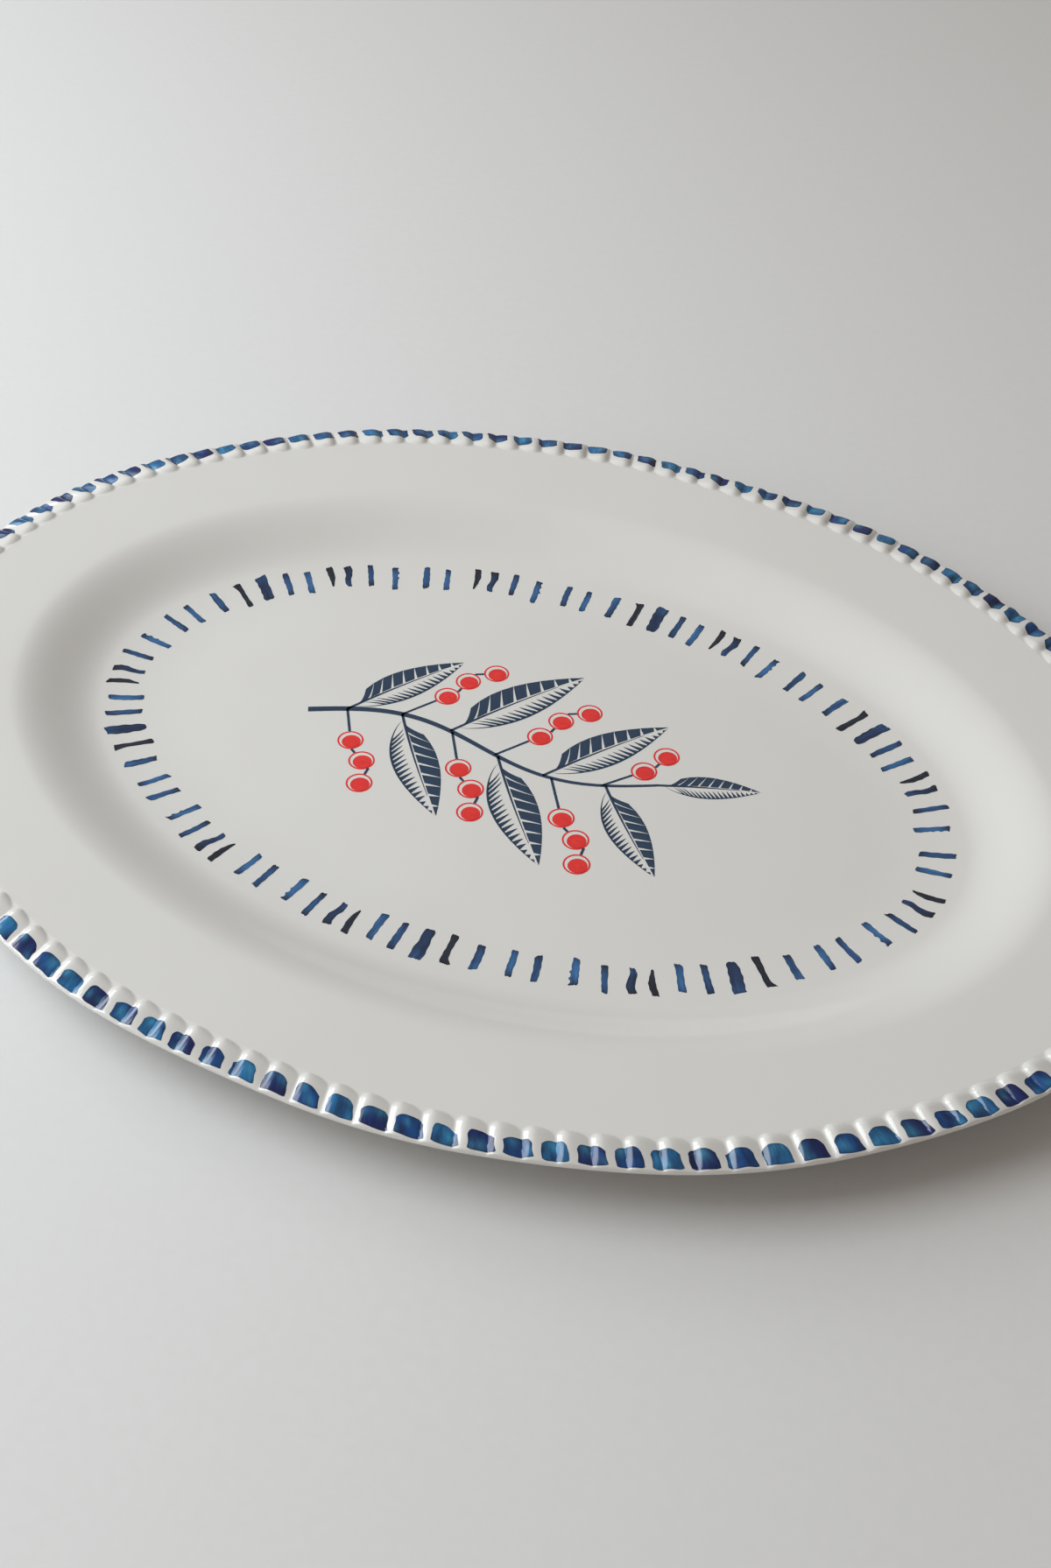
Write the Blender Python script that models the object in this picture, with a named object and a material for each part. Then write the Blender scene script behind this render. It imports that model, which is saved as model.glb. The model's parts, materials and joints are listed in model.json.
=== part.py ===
"""An oval serving platter in moulded melamine: the dish with its lobed edge, and its two printed foils.

Metres, +Z up. The origin is on the table under the middle of the dish, with the long axis along X.
"""

import math

import bmesh
import bpy
import numpy as np

OBJECT_NAME = "oval_serving_platter"

# Plan of the dish
LENGTH = 0.460
WIDTH = 0.351
# Slow waves of the hand-drawn outline: how many round the edge, how high, where they start
OUTLINE_WAVES = ((6, 0.0005, math.radians(46)), (12, 0.0004, math.radians(-78)))

# Section of the dish: heights above the table, and insets measured inwards from the lip
FLOOR_TOP = 0.0053
WALL_THICK = 0.0030
DISH_EDGE_INSET = 0.1040
DISH_RISE = 0.0020
COVE_FOOT_INSET = 0.0715
COVE_HEAD_INSET = 0.0410
COVE_RISE = 0.0116
RIM_RISE = 0.0028
LIP_THICK = 0.0009
LIP_DROP = 0.0006

# Foot ring under the dish
FOOT_INSET = 0.0640
FOOT_WIDTH = 0.0050
FOOT_DRAFT = 0.0008

# Lobed edge. Each lobe climbs steeply to its ridge, falls gently after it and leans on its way to the lip.
LOBES = 130
# Where the first valley lies, in lobes counted from the +X end
LOBE_START = 0.2
# Where the ridge lies and where the edge is divided, in parts of a lobe after its first valley
LOBE_RIDGE = 0.34
LOBE_STATIONS = (0.0, LOBE_RIDGE, 0.56, 0.78)
LOBE_LEAN = 0.12
LOBE_FOOT_INSET = 0.0116
LOBE_CREST_INSET = 0.0082
LOBE_RISE = 0.0016
LOBE_RISE_AT_LIP = 0.0008
LOBE_VALLEY_FALL = 0.0007
STEEP_ROUNDNESS = 2.2
GENTLE_ROUNDNESS = 1.3

# Printed foils
FOIL_THICK = 0.0004
FOIL_GAP = 0.0003
EDGE_FOIL_INNER_INSET = 0.0071
EDGE_FOIL_OUTER_INSET = 0.0008
CENTRE_FOIL_INSET = 0.0726

# How finely the edge and the plain surfaces are divided
FINE_PER_PLAIN = 5
DISH_STEPS = 3
COVE_STEPS = 7
UNDERSIDE_STEPS = 4
OUTLINE_SAMPLES = 4000

LOBE_FOOT_HEIGHT = FLOOR_TOP + DISH_RISE + COVE_RISE + RIM_RISE
FOIL_SEAT_DEPTH = FOIL_THICK + FOIL_GAP
LIP_TOP = LOBE_FOOT_HEIGHT - LOBE_VALLEY_FALL - LIP_DROP

WHITE = (0.80, 0.79, 0.76)
FOIL_WHITE = (0.78, 0.78, 0.76)
EDGE_BLUE = (0.06, 0.13, 0.27)


def clear_scene():
    for thing in list(bpy.data.objects):
        bpy.data.objects.remove(thing, do_unlink=True)


def lip_direction(angle):
    """Point of the plain oval at this angle, and the unit normal that leads out of it."""
    half_length, half_width = LENGTH / 2, WIDTH / 2
    point = np.array((half_length * math.cos(angle), half_width * math.sin(angle)))
    normal = np.array((half_width * math.cos(angle), half_length * math.sin(angle)))
    return point, normal / np.linalg.norm(normal)


def edge_table():
    """Angles round the plain oval, and the length of edge that lies before each."""
    angles = np.linspace(0, 2 * math.pi, OUTLINE_SAMPLES + 1)
    points = np.array([lip_direction(angle)[0] for angle in angles])
    lengths = np.linalg.norm(np.diff(points, axis=0), axis=1)
    return angles, np.concatenate([[0], np.cumsum(lengths)])


EDGE_ANGLES, EDGE_TRAVEL = edge_table()
EDGE_LENGTH = EDGE_TRAVEL[-1]


def edge_stations():
    """Shares of the way round at the points of every lobe, with the first in a valley."""
    return [(lobe + part + LOBE_START) / LOBES for lobe in range(LOBES) for part in LOBE_STATIONS]


def wander(share):
    """How far the hand-drawn outline leaves the plain oval at this share of the way round."""
    return sum(high * math.cos(2 * math.pi * count * share + start)
               for count, high, start in OUTLINE_WAVES)


def section_point(share, inset, height):
    """A point of the section that starts at this share of the way round and follows the lean of the lobes."""
    leaned = share + LOBE_LEAN * max(0.0, LOBE_FOOT_INSET - inset) / EDGE_LENGTH
    point, normal = lip_direction(np.interp(leaned % 1 * EDGE_LENGTH, EDGE_TRAVEL, EDGE_ANGLES))
    fade = max(0.0, 1 - inset / COVE_HEAD_INSET)
    x, y = point + normal * (wander(leaned) * fade - inset)
    return x, y, height


def face_height(inset):
    """Height of the upper face from the lobes inwards: sloping rim, S-shaped cove, shallow dish, floor."""
    dish_width = DISH_EDGE_INSET - COVE_FOOT_INSET
    rim_slope = RIM_RISE / (COVE_HEAD_INSET - LOBE_FOOT_INSET)
    if inset <= COVE_HEAD_INSET:
        return LOBE_FOOT_HEIGHT - rim_slope * (inset - LOBE_FOOT_INSET)
    if inset >= COVE_FOOT_INSET:
        return FLOOR_TOP + DISH_RISE * max(0.0, (DISH_EDGE_INSET - inset) / dish_width) ** 2
    cove_width = COVE_FOOT_INSET - COVE_HEAD_INSET
    dish_slope = 2 * DISH_RISE / dish_width
    up = (COVE_FOOT_INSET - inset) / cove_width
    bend = dish_slope * up * (1 - up) ** 2 - rim_slope * up ** 2 * (1 - up)
    return FLOOR_TOP + DISH_RISE + COVE_RISE * up ** 2 * (3 - 2 * up) + cove_width * bend


def lobe_bulge(inset, share):
    """Height of a lobe over the valleys: a dome with an arched inner end, which falls away to the lip."""
    beyond = (share * LOBES - LOBE_START) % 1 - LOBE_RIDGE
    across = beyond / (LOBE_RIDGE if beyond < 0 else 1 - LOBE_RIDGE)
    along = max(0.0, (inset - LOBE_CREST_INSET) / (LOBE_FOOT_INSET - LOBE_CREST_INSET))
    reach = min(1.0, max(1e-9, math.hypot(across, along)))
    gentle = max(0.0, across) / reach
    roundness = STEEP_ROUNDNESS + (GENTLE_ROUNDNESS - STEEP_ROUNDNESS) * gentle
    shrink = max(0.0, 1 - inset / LOBE_CREST_INSET)
    rise = LOBE_RISE - (LOBE_RISE - LOBE_RISE_AT_LIP) * shrink ** 2
    return rise * (1 - reach ** roundness)


def lobe_height(inset, share):
    """Height of the lobed edge between its foot on the rim and the lip."""
    fall = LOBE_VALLEY_FALL * (1 - inset / LOBE_FOOT_INSET)
    return LOBE_FOOT_HEIGHT - fall + lobe_bulge(inset, share)


def seat_height(inset, share):
    """Floor of the seat that takes the edge foil: straight along the section."""
    inner_inset, outer_inset = EDGE_FOIL_INNER_INSET + FOIL_GAP, EDGE_FOIL_OUTER_INSET - FOIL_GAP
    inner, outer = lobe_height(inner_inset, share), lobe_height(outer_inset, share)
    part = (inset - outer_inset) / (inner_inset - outer_inset)
    return outer + (inner - outer) * part - FOIL_SEAT_DEPTH


def ring(mesh, stations, inset, height):
    """A loop of points at one inset. The height is a number, or a function of inset and share."""
    level = height if callable(height) else lambda _inset, _share: height
    return [mesh.verts.new(section_point(share, inset, level(inset, share))) for share in stations]


def nearest(loop, step, count):
    """The point of the loop that goes with this step of count even steps round it."""
    return loop[(step * len(loop) + count // 2) // count % len(loop)]


def loft(mesh, first, second):
    """Lofts between two loops. One of them may have several points for each point of the other."""
    count = max(len(first), len(second))
    for step in range(count):
        corners = [nearest(first, step, count), nearest(first, step + 1, count),
                   nearest(second, step + 1, count), nearest(second, step, count)]
        mesh.faces.new(dict.fromkeys(corners))


def skin(mesh, loops, closed):
    """Lofts a surface from loop to loop, then closes it on itself or caps both ends."""
    for first, second in zip(loops, loops[1:]):
        loft(mesh, first, second)
    if closed:
        loft(mesh, loops[-1], loops[0])
    else:
        mesh.faces.new(loops[0])
        mesh.faces.new(loops[-1])
    bmesh.ops.recalc_face_normals(mesh, faces=mesh.faces)


def finish(mesh, name, material, collection, parent):
    data = bpy.data.meshes.new(name)
    mesh.to_mesh(data)
    mesh.free()
    data.shade_smooth()
    data.set_sharp_from_angle(angle=math.radians(40))
    data.materials.append(material)
    part = bpy.data.objects.new(name, data)
    part.parent = parent
    collection.objects.link(part)
    return part


def make_material(name, colour, roughness):
    material = bpy.data.materials.new(name)
    material.use_nodes = True
    shader = material.node_tree.nodes["Principled BSDF"]
    shader.inputs["Base Color"].default_value = (*colour, 1)
    shader.inputs["Roughness"].default_value = roughness
    shader.inputs["Metallic"].default_value = 0.0
    return material


def dish_rings(mesh, stations, edge_inset, depth):
    """Loops from the flat floor out to this inset, at this depth under the upper face."""
    return [ring(mesh, stations, inset, face_height(inset) - depth)
            for inset in np.linspace(DISH_EDGE_INSET, edge_inset, DISH_STEPS)]


def platter_body(collection, parent):
    """The moulding: from the seat of the centre foil out over the lobes, round the lip and back below."""
    fine = edge_stations()
    plain = fine[::FINE_PER_PLAIN]
    mesh = bmesh.new()
    seat_inset = CENTRE_FOIL_INSET - FOIL_GAP
    cove_insets = np.linspace(COVE_FOOT_INSET, COVE_HEAD_INSET, COVE_STEPS)

    loops = dish_rings(mesh, plain, seat_inset, FOIL_SEAT_DEPTH)
    for inset in (seat_inset, *cove_insets, LOBE_FOOT_INSET):
        loops.append(ring(mesh, plain, inset, face_height(inset)))

    shoulder_inset = (LOBE_FOOT_INSET * 2 + LOBE_CREST_INSET) / 3
    foil_step = EDGE_FOIL_INNER_INSET + FOIL_GAP
    for inset in (shoulder_inset, foil_step):
        loops.append(ring(mesh, fine, inset, lobe_height))
    for inset in (foil_step, EDGE_FOIL_OUTER_INSET - FOIL_GAP):
        loops.append(ring(mesh, fine, inset, seat_height))

    loops.append(ring(mesh, plain, 0.0, LIP_TOP))
    loops.append(ring(mesh, plain, 0.0, LIP_TOP - LIP_THICK / 2))
    loops.append(ring(mesh, plain, LIP_THICK / 2, LIP_TOP - LIP_THICK))
    loops.append(ring(mesh, plain, LOBE_FOOT_INSET, LOBE_FOOT_HEIGHT - WALL_THICK))
    for inset in np.linspace(COVE_HEAD_INSET, FOOT_INSET, UNDERSIDE_STEPS):
        loops.append(ring(mesh, plain, inset, face_height(inset) - WALL_THICK))

    foot_inner = FOOT_INSET + FOOT_WIDTH
    loops.append(ring(mesh, plain, FOOT_INSET + FOOT_DRAFT, 0.0))
    loops.append(ring(mesh, plain, foot_inner - FOOT_DRAFT, 0.0))
    loops.extend(reversed(dish_rings(mesh, plain, foot_inner, WALL_THICK)))
    skin(mesh, loops, closed=False)
    return finish(mesh, "platter_body", make_material("white_melamine", WHITE, 0.12), collection, parent)


def centre_decor_foil(collection, parent):
    """The printed sheet in its seat on the floor of the well."""
    stations = edge_stations()[::FINE_PER_PLAIN]
    mesh = bmesh.new()
    loops = dish_rings(mesh, stations, CENTRE_FOIL_INSET, FOIL_THICK)
    loops.extend(reversed(dish_rings(mesh, stations, CENTRE_FOIL_INSET, 0.0)))
    skin(mesh, loops, closed=False)
    material = make_material("printed_centre_foil", FOIL_WHITE, 0.10)
    return finish(mesh, "centre_decor_foil", material, collection, parent)


def edge_decor_foil(collection, parent):
    """The printed band over the outer half of the lobes, lying in its seat."""
    stations = edge_stations()
    mesh = bmesh.new()

    def under(inset, share):
        return seat_height(inset, share) + FOIL_GAP

    def over(inset, share):
        return under(inset, share) + FOIL_THICK

    loops = [ring(mesh, stations, EDGE_FOIL_INNER_INSET, over),
             ring(mesh, stations, EDGE_FOIL_OUTER_INSET, over),
             ring(mesh, stations, EDGE_FOIL_OUTER_INSET, under),
             ring(mesh, stations, EDGE_FOIL_INNER_INSET, under)]
    skin(mesh, loops, closed=True)
    material = make_material("printed_edge_foil", EDGE_BLUE, 0.10)
    return finish(mesh, "edge_decor_foil", material, collection, parent)


def main():
    clear_scene()
    collection = bpy.data.collections.new(OBJECT_NAME)
    bpy.context.scene.collection.children.link(collection)
    origin = bpy.data.objects.new(OBJECT_NAME, None)
    collection.objects.link(origin)
    for build in (platter_body, centre_decor_foil, edge_decor_foil):
        part = build(collection, origin)
        print(part.name, [round(side, 4) for side in part.dimensions])


main()
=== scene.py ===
# %% [markdown]
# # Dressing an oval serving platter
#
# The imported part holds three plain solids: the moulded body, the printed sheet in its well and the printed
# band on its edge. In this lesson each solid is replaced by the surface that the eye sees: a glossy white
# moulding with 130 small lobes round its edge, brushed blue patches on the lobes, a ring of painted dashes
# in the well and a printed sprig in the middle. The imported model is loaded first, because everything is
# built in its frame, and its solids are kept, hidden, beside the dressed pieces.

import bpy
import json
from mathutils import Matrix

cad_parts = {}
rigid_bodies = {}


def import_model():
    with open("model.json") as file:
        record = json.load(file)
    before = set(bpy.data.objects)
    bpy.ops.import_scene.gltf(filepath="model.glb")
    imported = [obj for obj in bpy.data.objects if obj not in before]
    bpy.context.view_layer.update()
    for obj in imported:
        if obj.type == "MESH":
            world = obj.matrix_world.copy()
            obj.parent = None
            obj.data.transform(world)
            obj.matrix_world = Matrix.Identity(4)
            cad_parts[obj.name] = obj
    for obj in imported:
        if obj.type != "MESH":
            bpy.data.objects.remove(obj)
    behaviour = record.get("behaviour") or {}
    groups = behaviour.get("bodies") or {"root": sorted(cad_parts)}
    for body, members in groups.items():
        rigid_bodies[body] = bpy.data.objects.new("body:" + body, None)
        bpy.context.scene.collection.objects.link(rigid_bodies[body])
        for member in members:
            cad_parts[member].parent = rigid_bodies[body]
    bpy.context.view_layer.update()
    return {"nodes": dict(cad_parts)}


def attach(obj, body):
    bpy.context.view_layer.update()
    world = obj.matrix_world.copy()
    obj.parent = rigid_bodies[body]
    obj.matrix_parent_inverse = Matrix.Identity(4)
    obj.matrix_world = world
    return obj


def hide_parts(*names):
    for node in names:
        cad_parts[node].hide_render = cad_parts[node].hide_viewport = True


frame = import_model()
print("solids:", sorted(frame["nodes"]))

# %% [markdown]
# ## The camera
#
# A photographer stood over the near right side of the platter and looked down at about 44 degrees. The view
# was found by fitting a pinhole camera to the lobed edge. A camera could be aimed with a Track To
# constraint, but that leaves no say over its slight roll, so the three axes are worked out here and put
# straight into the camera's matrix.

# %% Place the camera
import math

import bpy
from mathutils import Matrix, Vector

PHOTO_HEIGHT_PX = 1791
FOCAL_LENGTH_PX = 2093.9
SENSOR_HEIGHT_MM = 36.0
CAMERA_PLACE = Vector((0.16435, -0.44657, 0.44892))
CAMERA_YAW = math.radians(-19.88)
CAMERA_PITCH = math.radians(43.80)
CAMERA_ROLL = math.radians(2.24)


def photo_camera():
    """A camera with the photograph's place, aim, roll and angle of view."""
    data = bpy.data.cameras.new("photo_camera")
    data.sensor_fit = "VERTICAL"
    data.sensor_height = SENSOR_HEIGHT_MM
    data.lens = FOCAL_LENGTH_PX * SENSOR_HEIGHT_MM / PHOTO_HEIGHT_PX
    level = math.cos(CAMERA_PITCH)
    ahead = Vector((math.sin(CAMERA_YAW) * level, math.cos(CAMERA_YAW) * level, -math.sin(CAMERA_PITCH)))
    right = Vector((math.cos(CAMERA_YAW), -math.sin(CAMERA_YAW), 0.0))
    axes = Matrix((right, right.cross(ahead), -ahead)).transposed()
    rolled = axes @ Matrix.Rotation(CAMERA_ROLL, 3, "Z")
    camera = bpy.data.objects.new("photo_camera", data)
    camera.matrix_world = Matrix.Translation(CAMERA_PLACE) @ rolled.to_4x4()
    bpy.context.scene.collection.objects.link(camera)
    bpy.context.scene.camera = camera
    return camera


print(f"camera: {photo_camera().data.lens:.1f} mm lens")

# %% [markdown]
# ## The plan of the platter
#
# Seen from above the platter is an oval, very slightly wavy, as if the hot moulding had cooled unevenly.
# Every point of its face can be named by two numbers: a share, which says how far round the lip it is, and
# an inset, which says how far in from the lip. The shares run by length and not by angle, since the lobes
# are all equally wide. numpy works on whole rings of points at once, which keeps the fine meshes quick to
# build. All sizes are in metres.

# %% Points by share and inset
import numpy as np

LENGTH = 0.460
WIDTH = 0.351
COVE_HEAD_INSET = 0.0410
OUTLINE_WAVES = ((6, 0.0005, math.radians(46)), (12, 0.0004, math.radians(-78)))
OUTLINE_SAMPLES = 4000

turn = np.linspace(0, 2 * np.pi, OUTLINE_SAMPLES + 1)
half_sizes = np.array((LENGTH, WIDTH)) / 2
lip_steps = np.diff(np.column_stack((np.cos(turn), np.sin(turn))) * half_sizes, axis=0)
lip_way = np.concatenate(([0.0], np.cumsum(np.linalg.norm(lip_steps, axis=1))))


def oval(share):
    """Points of the plain oval, and its outward directions, at shares of its length from the +X end."""
    angle = np.interp(np.mod(share, 1.0) * lip_way[-1], lip_way, turn)
    round_point = np.stack((np.cos(angle), np.sin(angle)), axis=-1)
    outward = round_point / half_sizes
    return round_point * half_sizes, outward / np.linalg.norm(outward, axis=-1, keepdims=True)


def plan(share, inset):
    """Plan points at an inset from the lip, with the outline's waves fading out towards the cove."""
    point, outward = oval(share)
    wave = sum(high * np.cos(2 * np.pi * count * share + start) for count, high, start in OUTLINE_WAVES)
    fade = np.clip(1 - inset / COVE_HEAD_INSET, 0, None)
    return point + outward * (wave * fade - inset)[..., None]


print(f"lip: {lip_way[-1] * 1000:.0f} mm round")

# %% [markdown]
# ## The section and the lobes
#
# Cut across, the platter has a flat floor that turns up in a shallow dish, a cove that climbs to the broad
# rim, and the lobed edge. The cove is a Hermite curve: it takes its slope from the dish at its foot and from
# the rim at its head, so no crease shows in the gloss. The lobes lean a little, like the strands of a rope:
# each climbs steeply to its ridge on one side, falls off gently on the other and ends in a round nose. That
# is one formula: the height falls off with the distance from the ridge, more slowly on the gentle side. The
# formulas are those of the solid, so the new surface lies where the solid's face was. Only the lobes are a
# tenth of a millimetre lower, which leaves room for the print inside the box of the solids.

# %% Heights of the face
FLOOR_TOP = 0.0053
DISH_EDGE_INSET = 0.1040
DISH_RISE = 0.0020
COVE_FOOT_INSET = 0.0715
COVE_RISE = 0.0116
RIM_RISE = 0.0028
LOBES = 130
LOBE_PITCH = lip_way[-1] / LOBES
LOBE_START = 0.2
LOBE_LEAN = 0.12
LOBE_RIDGE = 0.34
LOBE_FOOT_INSET = 0.0116
LOBE_CREST_INSET = 0.0082
LOBE_RISE = 0.0015
LOBE_RISE_AT_LIP = 0.0007
LOBE_VALLEY_FALL = 0.0007
STEEP_ROUNDNESS = 2.2
GENTLE_ROUNDNESS = 1.3
LOBE_FOOT_HEIGHT = FLOOR_TOP + DISH_RISE + COVE_RISE + RIM_RISE
LEAST_REACH = 1e-6


def face_height(inset):
    """Height of the floor, dish, cove and rim, without the lobes."""
    dish_width = DISH_EDGE_INSET - COVE_FOOT_INSET
    cove_width = COVE_FOOT_INSET - COVE_HEAD_INSET
    rim_slope = RIM_RISE / (COVE_HEAD_INSET - LOBE_FOOT_INSET)
    dish_slope = 2 * DISH_RISE / dish_width
    rim = LOBE_FOOT_HEIGHT - rim_slope * (inset - LOBE_FOOT_INSET)
    dish = FLOOR_TOP + DISH_RISE * np.clip((DISH_EDGE_INSET - inset) / dish_width, 0, None) ** 2
    up = (COVE_FOOT_INSET - inset) / cove_width
    bend = dish_slope * up * (1 - up) ** 2 - rim_slope * up ** 2 * (1 - up)
    cove = FLOOR_TOP + DISH_RISE + COVE_RISE * up ** 2 * (3 - 2 * up) + cove_width * bend
    return np.where(inset <= COVE_HEAD_INSET, rim, np.where(inset >= COVE_FOOT_INSET, dish, cove))


def lean(inset):
    """How many lobes the pattern has moved round at an inset, counted from the foot of the noses."""
    return LOBE_LEAN * np.clip(LOBE_FOOT_INSET - inset, 0, None) / LOBE_PITCH


def lobe_bulge(share, inset):
    """How far a lobe stands over the valleys beside it."""
    beyond = np.mod(share * LOBES - LOBE_START - lean(inset), 1) - LOBE_RIDGE
    across = beyond / np.where(beyond < 0, LOBE_RIDGE, 1 - LOBE_RIDGE)
    along = np.clip((inset - LOBE_CREST_INSET) / (LOBE_FOOT_INSET - LOBE_CREST_INSET), 0, None)
    reach = np.clip(np.hypot(across, along), LEAST_REACH, 1.0)
    gentle = np.clip(across / reach, 0, 1)
    roundness = STEEP_ROUNDNESS + (GENTLE_ROUNDNESS - STEEP_ROUNDNESS) * gentle
    shrink = np.clip(1 - inset / LOBE_CREST_INSET, 0, None)
    rise = LOBE_RISE - (LOBE_RISE - LOBE_RISE_AT_LIP) * shrink ** 2
    return rise * (1 - reach ** roundness)


def face(share, inset):
    """Points of the whole upper face."""
    share, inset = np.broadcast_arrays(np.asarray(share, float), np.asarray(inset, float))
    valley = LOBE_FOOT_HEIGHT - LOBE_VALLEY_FALL * (1 - inset / LOBE_FOOT_INSET)
    lobed = valley + lobe_bulge(share, inset)
    height = np.where(inset < LOBE_FOOT_INSET, lobed, face_height(inset))
    return np.concatenate((plan(share, inset), height[..., None]), axis=-1)


print(f"lobes: {LOBE_PITCH * 1000:.2f} mm wide, {LOBE_RISE * 1000:.2f} mm high")

# %% [markdown]
# ## Shared finishes: ripple, handling marks and brush streaks
#
# Three effects are wanted in more than one material, so each is a shader node group, built once and used
# with other values in each material. The ripple is the slow unevenness of a pressed surface, which bends the
# reflections in the cove, with a finer orange peel over it and, on the prints, resin that has pooled a little
# and so breaks up the glints. The handling marks are faint smears and hairline scratches that dull the gloss
# in places. The brush streaks run along a painted mark and darken its outline, where wet colour gathers;
# they read the place within the mark from attributes that the meshes carry.

# %% Node group helpers
MM = 0.001


def new_group(name, inputs, outputs):
    """An empty shader node group with float sockets, and its input and output nodes."""
    group = bpy.data.node_groups.new(name, "ShaderNodeTree")
    for socket_name, value in inputs.items():
        socket = group.interface.new_socket(socket_name, in_out="INPUT", socket_type="NodeSocketFloat")
        socket.default_value = value
    for socket_name in outputs:
        group.interface.new_socket(socket_name, in_out="OUTPUT", socket_type="NodeSocketFloat")
    return group, group.nodes.new("NodeGroupInput"), group.nodes.new("NodeGroupOutput")


def maths(tree, operation, *values, clamp=False):
    """The output of a Math node whose inputs are numbers or other sockets."""
    node = tree.nodes.new("ShaderNodeMath")
    node.operation = operation
    node.use_clamp = clamp
    for socket, value in zip(node.inputs, values):
        if isinstance(value, (int, float)):
            socket.default_value = value
        else:
            tree.links.new(value, socket)
    return node.outputs[0]


def noise(tree, vector, scale, detail=2.0, roughness=0.5):
    """The 0 to 1 output of a Noise Texture."""
    node = tree.nodes.new("ShaderNodeTexNoise")
    node.inputs["Scale"].default_value = scale
    node.inputs["Detail"].default_value = detail
    node.inputs["Roughness"].default_value = roughness
    tree.links.new(vector, node.inputs["Vector"])
    return node.outputs["Fac"]


def place(tree):
    """Coordinates in metres that stay with the platter."""
    return tree.nodes.new("ShaderNodeTexCoord").outputs["Object"]


print("helpers ready")

# %% The ripple of the pressed glaze
WAVE_SCALE = 34.0
POOL_SCALE = 230.0
PEEL_SCALE = 620.0


def glaze_ripple_group():
    """Height of the surface over its mean, in millimetres."""
    group, given, result = new_group("glaze_ripple", {"Wave": 0.05, "Pool": 0.0, "Peel": 0.002}, ["Height"])
    coordinates = place(group)
    height = 0.0
    for name, scale in (("Wave", WAVE_SCALE), ("Pool", POOL_SCALE), ("Peel", PEEL_SCALE)):
        swell = maths(group, "MULTIPLY", noise(group, coordinates, scale, 1.0), given.outputs[name])
        height = maths(group, "ADD", height, swell)
    group.links.new(height, result.inputs["Height"])
    return group


glaze_ripple = glaze_ripple_group()
print("group:", glaze_ripple.name)

# %% Handling marks
SMEAR_SCALE = 16.0
SCRATCH_SCALE = 260.0
SCRATCH_STRETCH = (1.0, 0.04, 1.0)
SCRATCH_TURN = (0.0, 0.0, math.radians(38))
SCRATCH_THRESHOLD = 0.66
SCRATCH_SHARPNESS = 8.0


def handling_marks_group():
    """Roughness of a glossy surface with faint smears and hairline scratches."""
    inputs = {"Plain": 0.10, "Smears": 0.05, "Scratches": 0.06}
    group, given, result = new_group("handling_marks", inputs, ["Roughness"])
    coordinates = place(group)
    cloud = noise(group, coordinates, SMEAR_SCALE, 4.0, 0.6)
    smear = maths(group, "MULTIPLY", cloud, given.outputs["Smears"])
    stretch = group.nodes.new("ShaderNodeMapping")
    stretch.inputs["Rotation"].default_value = SCRATCH_TURN
    stretch.inputs["Scale"].default_value = SCRATCH_STRETCH
    group.links.new(coordinates, stretch.inputs["Vector"])
    hairlines = noise(group, stretch.outputs["Vector"], SCRATCH_SCALE, 2.0)
    above = maths(group, "SUBTRACT", hairlines, SCRATCH_THRESHOLD)
    sharp = maths(group, "MULTIPLY", above, SCRATCH_SHARPNESS, clamp=True)
    scratch = maths(group, "MULTIPLY", sharp, given.outputs["Scratches"])
    rough = maths(group, "ADD", maths(group, "ADD", given.outputs["Plain"], smear), scratch)
    group.links.new(rough, result.inputs["Roughness"])
    return group


handling_marks = handling_marks_group()
print("group:", handling_marks.name)

# %% Brush streaks
STREAKS_ALONG = 0.9
SEED_STEP = 41.0
OUTLINE_SHARPNESS = 7.0


def brush_streaks_group():
    """Brightness of the colour within one painted mark: streaks along it and a darker outline."""
    inputs = {"Across": 0.0, "Along": 0.5, "Seed": 0.0, "Fineness": 2.5, "Contrast": 0.8, "Outline": 0.3}
    group, given, result = new_group("brush_streaks", inputs, ["Shade"])
    across, along = given.outputs["Across"], given.outputs["Along"]
    joined = group.nodes.new("ShaderNodeCombineXYZ")
    group.links.new(maths(group, "MULTIPLY", across, given.outputs["Fineness"]), joined.inputs["X"])
    group.links.new(maths(group, "MULTIPLY", along, STREAKS_ALONG), joined.inputs["Y"])
    group.links.new(maths(group, "MULTIPLY", given.outputs["Seed"], SEED_STEP), joined.inputs["Z"])
    streak = maths(group, "SUBTRACT", noise(group, joined.outputs["Vector"], 1.0, 3.0, 0.6), 0.5)
    lively = maths(group, "ADD", maths(group, "MULTIPLY", streak, given.outputs["Contrast"]), 1.0)
    doubled = maths(group, "MULTIPLY", along, 2.0)
    from_middle = maths(group, "ABSOLUTE", maths(group, "SUBTRACT", doubled, 1.0))
    outermost = maths(group, "MAXIMUM", maths(group, "ABSOLUTE", across), from_middle)
    rim = maths(group, "POWER", outermost, OUTLINE_SHARPNESS, clamp=True)
    dark = maths(group, "SUBTRACT", 1.0, maths(group, "MULTIPLY", rim, given.outputs["Outline"]))
    group.links.new(maths(group, "MULTIPLY", lively, dark), result.inputs["Shade"])
    return group


brush_streaks = brush_streaks_group()
print("group:", brush_streaks.name)

# %% [markdown]
# ## The white melamine
#
# The body is moulded melamine: a hard, slightly warm white plastic with a mirror-like skin. A Principled
# shader with a low roughness and a slightly raised index of refraction gives that skin. The white isn't one
# flat colour: a slow mottle makes it a touch warmer in places, and the shared groups add the ripple and the
# handling marks. The same finish function also serves the inks, since the print lies under the same resin.

# %% Glossy finish and the white
RESIN_IOR = 1.58
WHITE = (0.70, 0.695, 0.675)
WARM_WHITE = (0.68, 0.668, 0.64)
MOTTLE_SCALE = 22.0


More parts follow.
